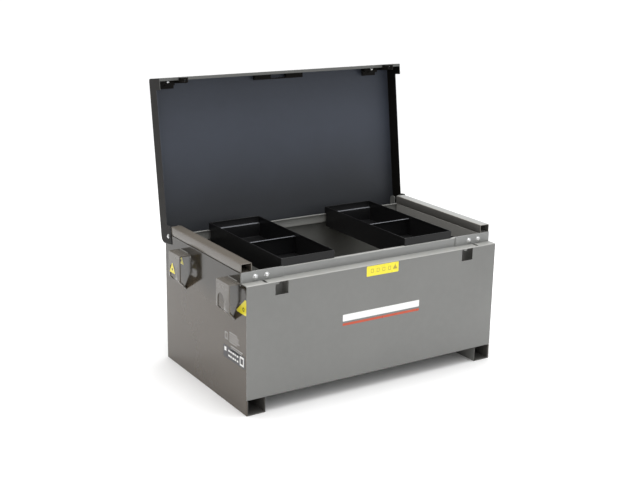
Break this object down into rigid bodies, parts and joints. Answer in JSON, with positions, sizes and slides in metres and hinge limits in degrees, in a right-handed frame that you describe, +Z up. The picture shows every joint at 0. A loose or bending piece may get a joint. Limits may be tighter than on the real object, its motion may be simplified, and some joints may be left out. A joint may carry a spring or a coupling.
{
  "type": "steel site storage chest",
  "caption": "Sheet-steel site storage chest with a hinged pan lid standing open, hanging trays, lifting brackets on the sides and channel skids.",
  "frame": {"origin": "bottom centre of the bounding box with the lid standing open, on the ground plane", "axes": "+X to the right along the chest's front, +Y towards the hinge side at the rear, +Z up"},
  "size_m": [1.3, 0.8278, 1.2037],
  "materials": {
    "grey_paint": "gloss grey paint on sheet steel",
    "dark_grey_paint": "thin grey paint inside the chest",
    "black_paint": "gloss black paint on sheet steel",
    "zinc_plate": "bright zinc plate"
  },
  "bodies": {
    "chest": {"front_panel": "grey_paint", "front_rim": "grey_paint", "rear_panel": "grey_paint", "rear_rim": "grey_paint", "floor_panel": "dark_grey_paint", "front_corner_left": "grey_paint", "rim_corner_left": "grey_paint", "front_corner_right": "grey_paint", "rim_corner_right": "grey_paint", "left_side_panel": "grey_paint", "left_skid": "grey_paint", "left_rail": "grey_paint", "left_rail_skirt": "grey_paint", "rim_plate_left": "grey_paint", "lock_pocket_left": "dark_grey_paint", "rim_bolt_left_1": "zinc_plate", "rim_bolt_left_2": "zinc_plate", "lifting_bracket_front_left": "grey_paint", "lifting_bracket_rear_left": "grey_paint", "hinge_lug_left": "grey_paint", "pivot_bolt_left": "zinc_plate", "pivot_nut_left": "zinc_plate", "right_side_panel": "grey_paint", "right_skid": "grey_paint", "right_rail": "grey_paint", "right_rail_skirt": "grey_paint", "rim_plate_right": "grey_paint", "lock_pocket_right": "dark_grey_paint", "rim_bolt_right_1": "zinc_plate", "rim_bolt_right_2": "zinc_plate", "lifting_bracket_front_right": "grey_paint", "lifting_bracket_rear_right": "grey_paint", "hinge_lug_right": "grey_paint", "pivot_bolt_right": "zinc_plate", "pivot_nut_right": "zinc_plate"},
    "lid": {"lid_pan": "black_paint", "lid_handle": "black_paint", "lid_latch_left": "black_paint", "latch_bolt_left": "zinc_plate", "lid_latch_right": "black_paint", "latch_bolt_right": "zinc_plate"},
    "left_tray": {"tray_left": "black_paint", "tray_divider_left": "black_paint"},
    "right_tray": {"tray_right": "black_paint", "tray_divider_right": "black_paint"}
  },
  "joints": [
    {"name": "lid_hinge", "type": "hinge", "parent": "chest", "child": "lid", "pos_m": [0, 0.2531, 0.549], "axis": [1, 0, 0], "range_deg": [0, 97.9]},
    {"name": "left_tray_slide", "type": "slide", "parent": "chest", "child": "left_tray", "axis": [1, 0, 0], "range_m": [-0.127, 0.17]},
    {"name": "right_tray_slide", "type": "slide", "parent": "chest", "child": "right_tray", "axis": [1, 0, 0], "range_m": [-0.17, 0.152]}
  ]
}
